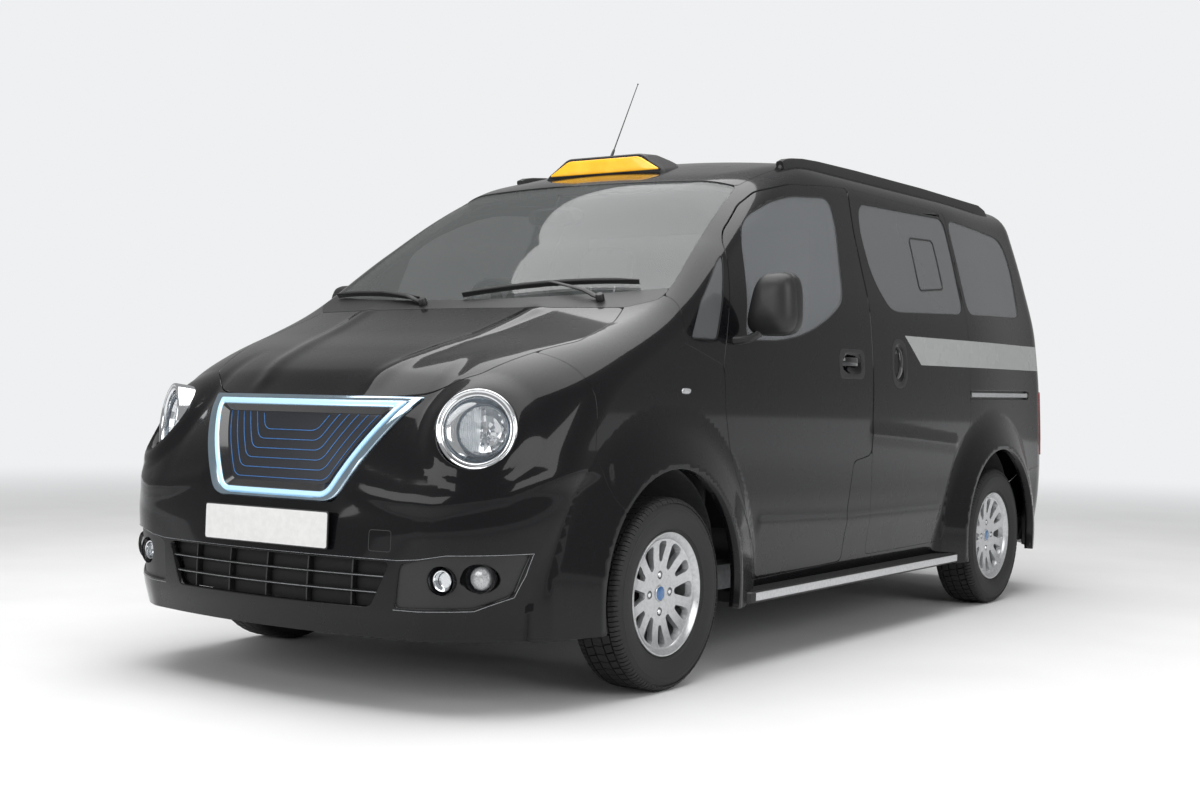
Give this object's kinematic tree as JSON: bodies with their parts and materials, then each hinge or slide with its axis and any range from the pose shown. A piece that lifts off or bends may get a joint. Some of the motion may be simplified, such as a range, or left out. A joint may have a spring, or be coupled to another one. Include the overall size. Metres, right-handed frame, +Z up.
{
  "type": "taxi cab",
  "caption": "Compact black people carrier cab with round headlamps, roof sign, sliding side doors, steered front wheels, opening bonnet, front doors and tailgate.",
  "frame": {"origin": "on the ground, at the middle of the overall length and width", "axes": "+Z up, +Y towards the tail, +X towards the left side of the cab"},
  "size_m": [2.102, 4.4682, 2.1352],
  "materials": {
    "paint": "gloss black paint",
    "black_trim": "satin black moulding",
    "sign_case": "dark grey moulding",
    "screen_glass": "clear, slightly green",
    "privacy_glass": "dark tint",
    "bright": "bright plated",
    "grille_gloss": "gloss black panel with thin blue lines",
    "reflector": "faceted reflector",
    "lamp_glass": "clear lens",
    "red_lens": "red lens",
    "amber_lens": "yellow-orange lens, blank",
    "plate_white": "blank white plate",
    "tyre_black": "black rubber",
    "alloy": "silver painted alloy",
    "seat_cloth": "black padded cloth",
    "cabin_trim": "dark cabin moulding",
    "floor_sheet": "dark painted sheet",
    "dark_steel": "dark coated steel",
    "battery_case": "dark coated case"
  },
  "bodies": {
    "body": {"antenna": "black_trim", "battery_pack": "battery_case", "cowl": "black_trim", "dashboard": "cabin_trim", "driver_seat": "seat_cloth", "driver_seat_frame": "cabin_trim", "floor_pan": "floor_sheet", "fog_housings": "black_trim", "fog_lamps": "lamp_glass", "folding_seats": "seat_cloth", "front_clip": "paint", "front_plate": "plate_white", "front_subframe": "dark_steel", "front_wings": "paint", "grille_frame": "bright", "grille_panel": "grille_gloss", "headlamp_bowls": "reflector", "headlamp_lenses": "lamp_glass", "headlamp_rings": "bright", "lower_grille": "black_trim", "motor_block": "dark_steel", "partition": "cabin_trim", "partition_glass": "screen_glass", "rear_axle": "dark_steel", "rear_bench": "seat_cloth", "rear_bumper": "paint", "roof_panel": "paint", "roof_rails": "black_trim", "side_frame_left": "paint", "side_frame_right": "paint", "side_glass": "privacy_glass", "side_steps": "black_trim", "sign_housing": "sign_case", "sign_lens": "amber_lens", "slider_left": "paint", "slider_right": "paint", "steering_wheel": "cabin_trim", "tail_lamps": "red_lens", "windscreen": "screen_glass", "wipers": "black_trim"},
    "bonnet": {"bonnet": "paint"},
    "door_left": {"door_left": "paint", "door_left_glass": "screen_glass", "mirror_left": "black_trim"},
    "door_right": {"door_right": "paint", "door_right_glass": "screen_glass", "mirror_right": "black_trim"},
    "tailgate": {"tailgate": "paint", "tailgate_glass": "privacy_glass", "rear_plate": "plate_white"},
    "knuckle_left": {"knuckle_left": "dark_steel"},
    "knuckle_right": {"knuckle_right": "dark_steel"},
    "wheel_front_left": {"tyre_front_left": "tyre_black", "rim_front_left": "alloy"},
    "wheel_front_right": {"tyre_front_right": "tyre_black", "rim_front_right": "alloy"},
    "wheel_rear_left": {"tyre_rear_left": "tyre_black", "rim_rear_left": "alloy"},
    "wheel_rear_right": {"tyre_rear_right": "tyre_black", "rim_rear_right": "alloy"}
  },
  "joints": [
    {"name": "bonnet_hinge", "type": "hinge", "parent": "body", "child": "bonnet", "pos_m": [0, -1.345, 1.197], "axis": [-1, 0, 0], "range_deg": [0, 50]},
    {"name": "door_left_hinge", "type": "hinge", "parent": "body", "child": "door_left", "pos_m": [0.849, -0.984, 0.9], "axis": [0, 0, -1], "range_deg": [0, 62]},
    {"name": "door_right_hinge", "type": "hinge", "parent": "body", "child": "door_right", "pos_m": [-0.849, -0.984, 0.9], "axis": [0, 0, 1], "range_deg": [0, 62]},
    {"name": "tailgate_hinge", "type": "hinge", "parent": "body", "child": "tailgate", "pos_m": [0, 2.13, 1.727], "axis": [1, 0, 0], "range_deg": [0, 80]},
    {"name": "steer_left", "type": "hinge", "parent": "body", "child": "knuckle_left", "pos_m": [0.7, -1.365, 0.3], "axis": [0, 0, 1], "range_deg": [-33, 33]},
    {"name": "steer_right", "type": "hinge", "parent": "body", "child": "knuckle_right", "pos_m": [-0.7, -1.365, 0.3], "axis": [0, 0, 1], "range_deg": [-33, 33]},
    {"name": "spin_front_left", "type": "hinge", "parent": "knuckle_left", "child": "wheel_front_left", "pos_m": [0.8, -1.365, 0.3], "axis": [1, 0, 0], "continuous": true},
    {"name": "spin_front_right", "type": "hinge", "parent": "knuckle_right", "child": "wheel_front_right", "pos_m": [-0.8, -1.365, 0.3], "axis": [1, 0, 0], "continuous": true},
    {"name": "spin_rear_left", "type": "hinge", "parent": "body", "child": "wheel_rear_left", "pos_m": [0.78, 1.36, 0.3], "axis": [1, 0, 0], "continuous": true},
    {"name": "spin_rear_right", "type": "hinge", "parent": "body", "child": "wheel_rear_right", "pos_m": [-0.78, 1.36, 0.3], "axis": [1, 0, 0], "continuous": true}
  ],
  "couplings": [
    {"joint": "steer_right", "follows": "steer_left", "ratio": 1}
  ]
}
